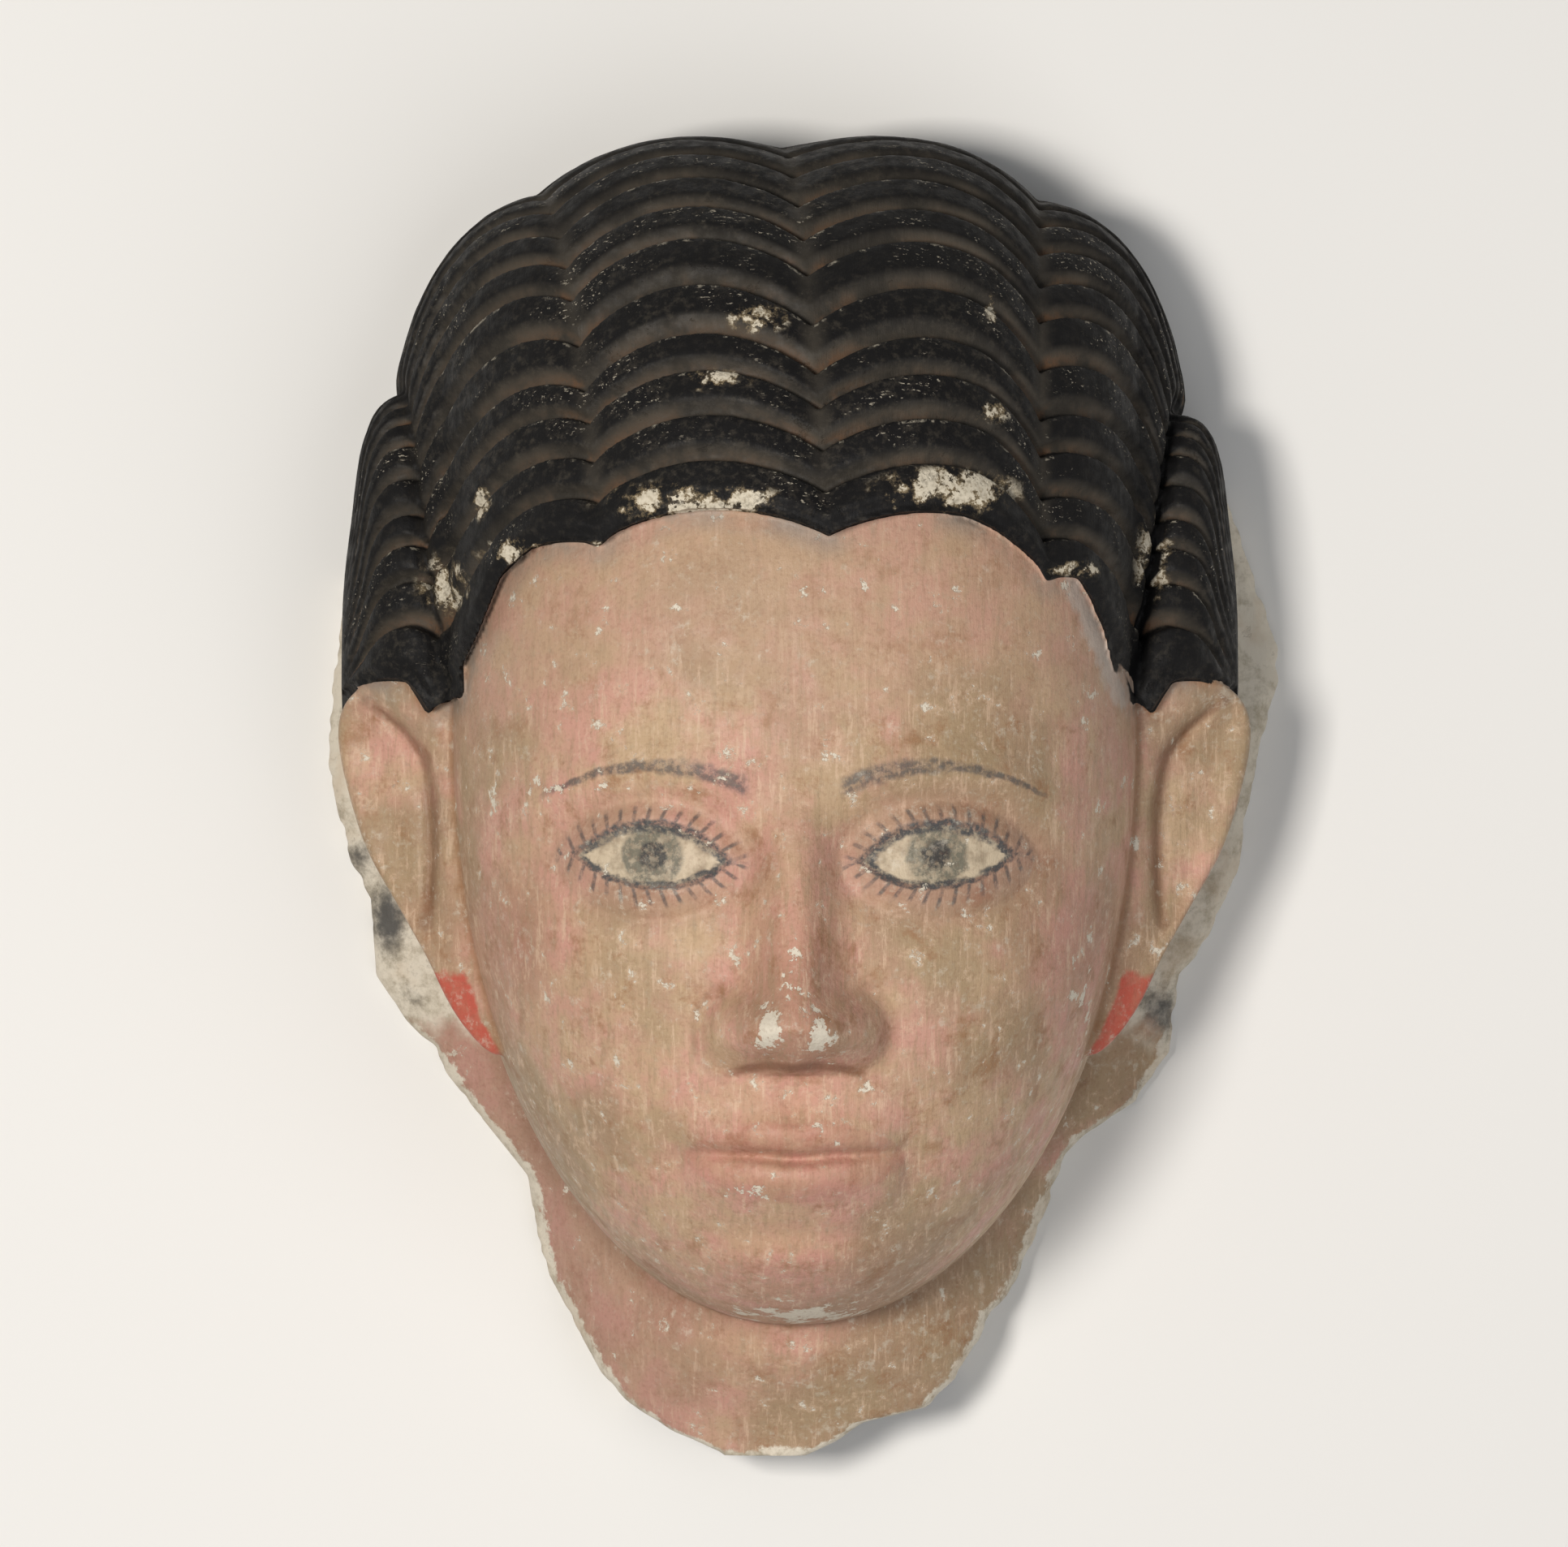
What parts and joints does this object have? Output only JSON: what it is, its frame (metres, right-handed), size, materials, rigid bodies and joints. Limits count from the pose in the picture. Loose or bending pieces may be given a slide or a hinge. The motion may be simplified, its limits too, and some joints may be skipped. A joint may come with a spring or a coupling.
{
  "type": "egyptian mummy mask",
  "caption": "Hollow painted plaster mummy mask with a cap of waved hair, large ears, a neck and a broken back flange.",
  "frame": {"origin": "middle of the bounding box at its base: the flat back rim that the mask lies on", "axes": "+Z the way the face looks (up, as the mask lies on its back), +Y towards the crown, +X towards the right of the view from the front"},
  "size_m": [0.1876, 0.2588, 0.1236],
  "materials": {
    "painted_plaster": "matte"
  },
  "bodies": {
    "root": {"mask": "painted_plaster"}
  },
  "joints": []
}
